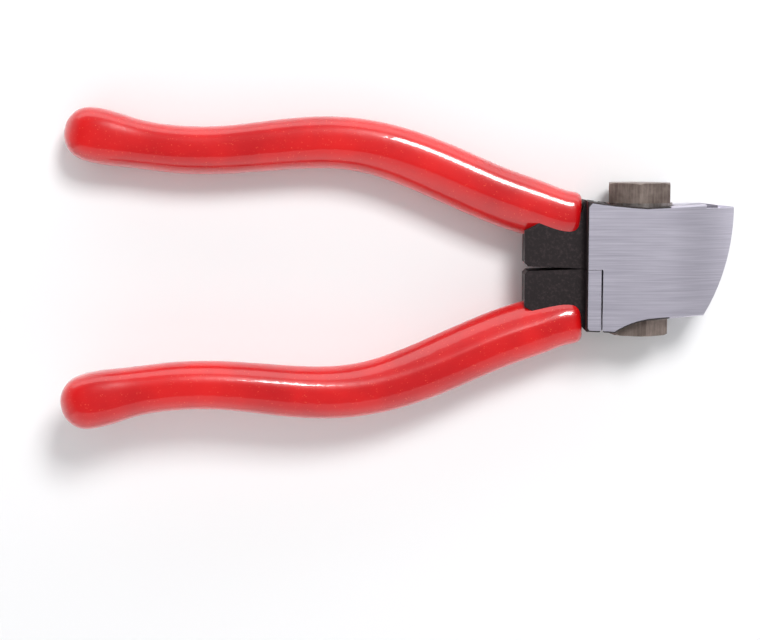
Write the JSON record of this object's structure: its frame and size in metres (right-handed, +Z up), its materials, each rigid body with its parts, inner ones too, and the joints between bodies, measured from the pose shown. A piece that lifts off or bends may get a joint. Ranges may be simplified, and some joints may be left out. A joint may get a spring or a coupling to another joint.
{
  "type": "end nipper",
  "caption": "Hand nipper with a bolted lap joint, a ground head with a curved, slanted nose and two curved handles with dipped grips.",
  "frame": {"origin": "on the rest face, the flat far side of the head, straight below the middle of the pivot bolt", "axes": "+X from the handles to the nose, +Y along the pivot bolt from the nut to the bolt's head, +Z up off the rest face"},
  "size_m": [0.1665, 0.0792, 0.0251],
  "materials": {
    "lever_steel": "surface-ground head, black oxide tangs",
    "dipped_vinyl": "gloss dipped vinyl",
    "fastener_steel": "dark brown-grey oxide",
    "washer_steel": "plain bright steel"
  },
  "bodies": {
    "upper_half": {"upper_lever": "lever_steel", "upper_grip": "dipped_vinyl", "pivot_bolt": "fastener_steel", "pivot_nut": "fastener_steel", "bolt_head_washer": "washer_steel", "nut_washer": "washer_steel"},
    "lower_half": {"lower_lever": "lever_steel", "lower_grip": "dipped_vinyl"}
  },
  "joints": [
    {"name": "jaw_opening", "type": "hinge", "parent": "upper_half", "child": "lower_half", "pos_m": [0, 0, 0.0093], "axis": [0, 1, 0], "range_deg": [0, 26]}
  ]
}
